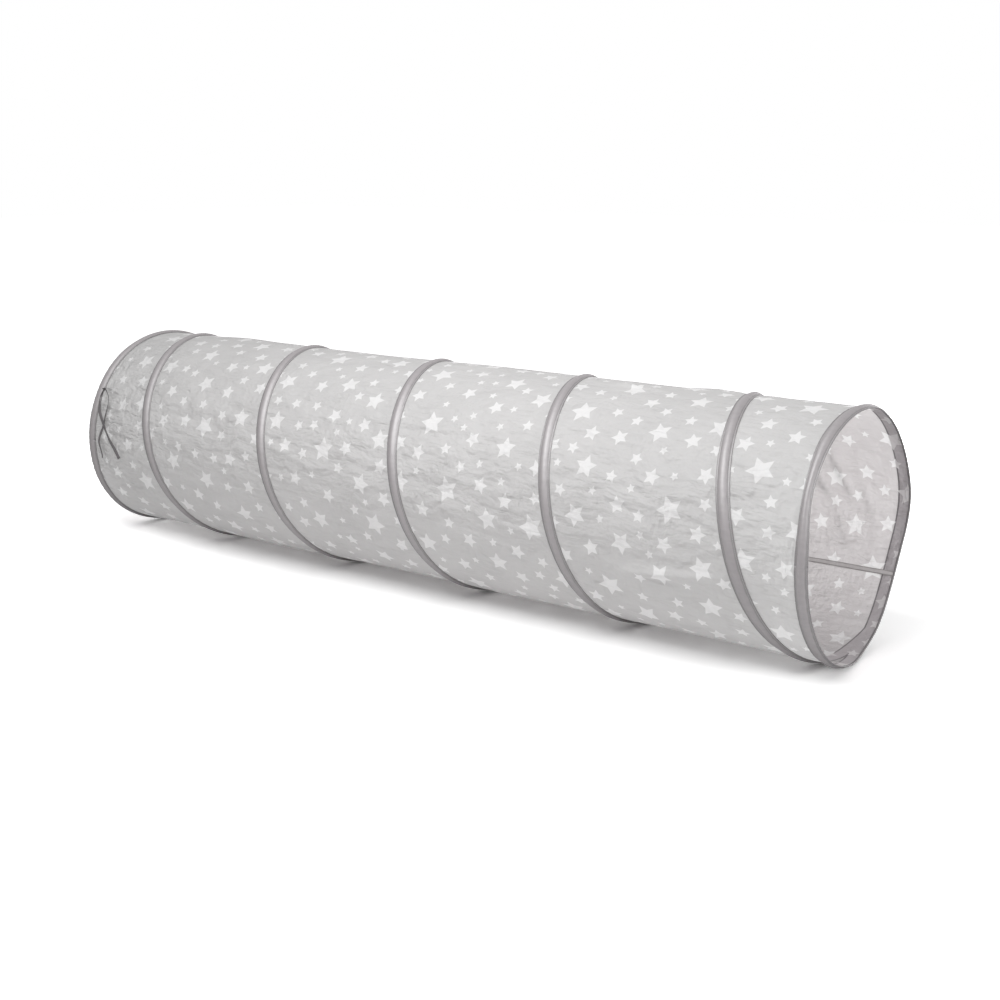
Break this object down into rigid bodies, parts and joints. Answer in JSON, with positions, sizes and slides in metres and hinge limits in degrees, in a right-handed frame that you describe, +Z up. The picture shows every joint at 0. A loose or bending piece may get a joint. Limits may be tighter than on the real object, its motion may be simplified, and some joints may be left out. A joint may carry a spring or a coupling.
{
  "type": "kids play tunnel",
  "caption": "Pop-up crawl tunnel for children: a star-printed cloth tube held open by a coiled spring wire in a channel tape, with a tie ribbon; it flattens along its length.",
  "frame": {"origin": "on the floor, halfway between the mouths, under the tunnel's axis", "axes": "+X along the tunnel towards the near mouth, +Z up, -Y towards the near side"},
  "size_m": [1.8, 0.479, 0.461],
  "materials": {
    "printed_cloth": "thin light grey woven cloth with a print of white five-pointed stars",
    "grey_tape": "matt darker grey woven tape with stitched edges",
    "grey_ribbon": "dark grey woven ribbon",
    "spring_steel": "drawn spring steel wire and crimped steel sleeves"
  },
  "bodies": {
    "near_end": {"spring_wire": "spring_steel", "near_wire_sleeve": "spring_steel", "near_end_binding": "grey_tape", "cloth_panel_near": "printed_cloth", "seam_tape_1": "grey_tape"},
    "turn_1": {"coil_tape_1": "grey_tape", "cloth_panel_1": "printed_cloth", "seam_tape_2": "grey_tape"},
    "turn_2": {"coil_tape_2": "grey_tape", "cloth_panel_2": "printed_cloth", "seam_tape_3": "grey_tape"},
    "turn_3": {"coil_tape_3": "grey_tape", "cloth_panel_3": "printed_cloth", "seam_tape_4": "grey_tape"},
    "turn_4": {"coil_tape_4": "grey_tape", "cloth_panel_4": "printed_cloth"},
    "turn_5": {"coil_tape_5": "grey_tape"},
    "far_end": {"far_wire_sleeve": "spring_steel", "far_end_binding": "grey_tape", "cloth_panel_far": "printed_cloth", "seam_tape_5": "grey_tape", "tie_ribbon_lower": "grey_ribbon", "tie_ribbon_upper": "grey_ribbon"}
  },
  "joints": [
    {"name": "collapse", "type": "slide", "parent": "near_end", "child": "far_end", "axis": [1, 0, 0], "range_m": [0, 1.72], "stiffness_N_per_m": 6, "springref_m": -0.1, "deforming": ["spring_wire", "cloth_panel_near", "seam_tape_1", "cloth_panel_far", "seam_tape_5", "tie_ribbon_lower", "tie_ribbon_upper"]},
    {"name": "turn_1_slide", "type": "slide", "parent": "near_end", "child": "turn_1", "axis": [1, 0, 0], "range_m": [0, 0.1614], "deforming": ["coil_tape_1", "cloth_panel_1", "seam_tape_2"]},
    {"name": "turn_2_slide", "type": "slide", "parent": "near_end", "child": "turn_2", "axis": [1, 0, 0], "range_m": [0, 0.4937], "deforming": ["coil_tape_2", "cloth_panel_2", "seam_tape_3"]},
    {"name": "turn_3_slide", "type": "slide", "parent": "near_end", "child": "turn_3", "axis": [1, 0, 0], "range_m": [0, 0.8514], "deforming": ["coil_tape_3", "cloth_panel_3", "seam_tape_4"]},
    {"name": "turn_4_slide", "type": "slide", "parent": "near_end", "child": "turn_4", "axis": [1, 0, 0], "range_m": [0, 1.2094], "deforming": ["coil_tape_4", "cloth_panel_4"]},
    {"name": "turn_5_slide", "type": "slide", "parent": "near_end", "child": "turn_5", "axis": [1, 0, 0], "range_m": [0, 1.5481], "deforming": ["coil_tape_5"]}
  ],
  "couplings": [
    {"joint": "turn_1_slide", "follows": "collapse", "ratio": 0.0938},
    {"joint": "turn_2_slide", "follows": "collapse", "ratio": 0.287},
    {"joint": "turn_3_slide", "follows": "collapse", "ratio": 0.495},
    {"joint": "turn_4_slide", "follows": "collapse", "ratio": 0.7031},
    {"joint": "turn_5_slide", "follows": "collapse", "ratio": 0.9}
  ]
}
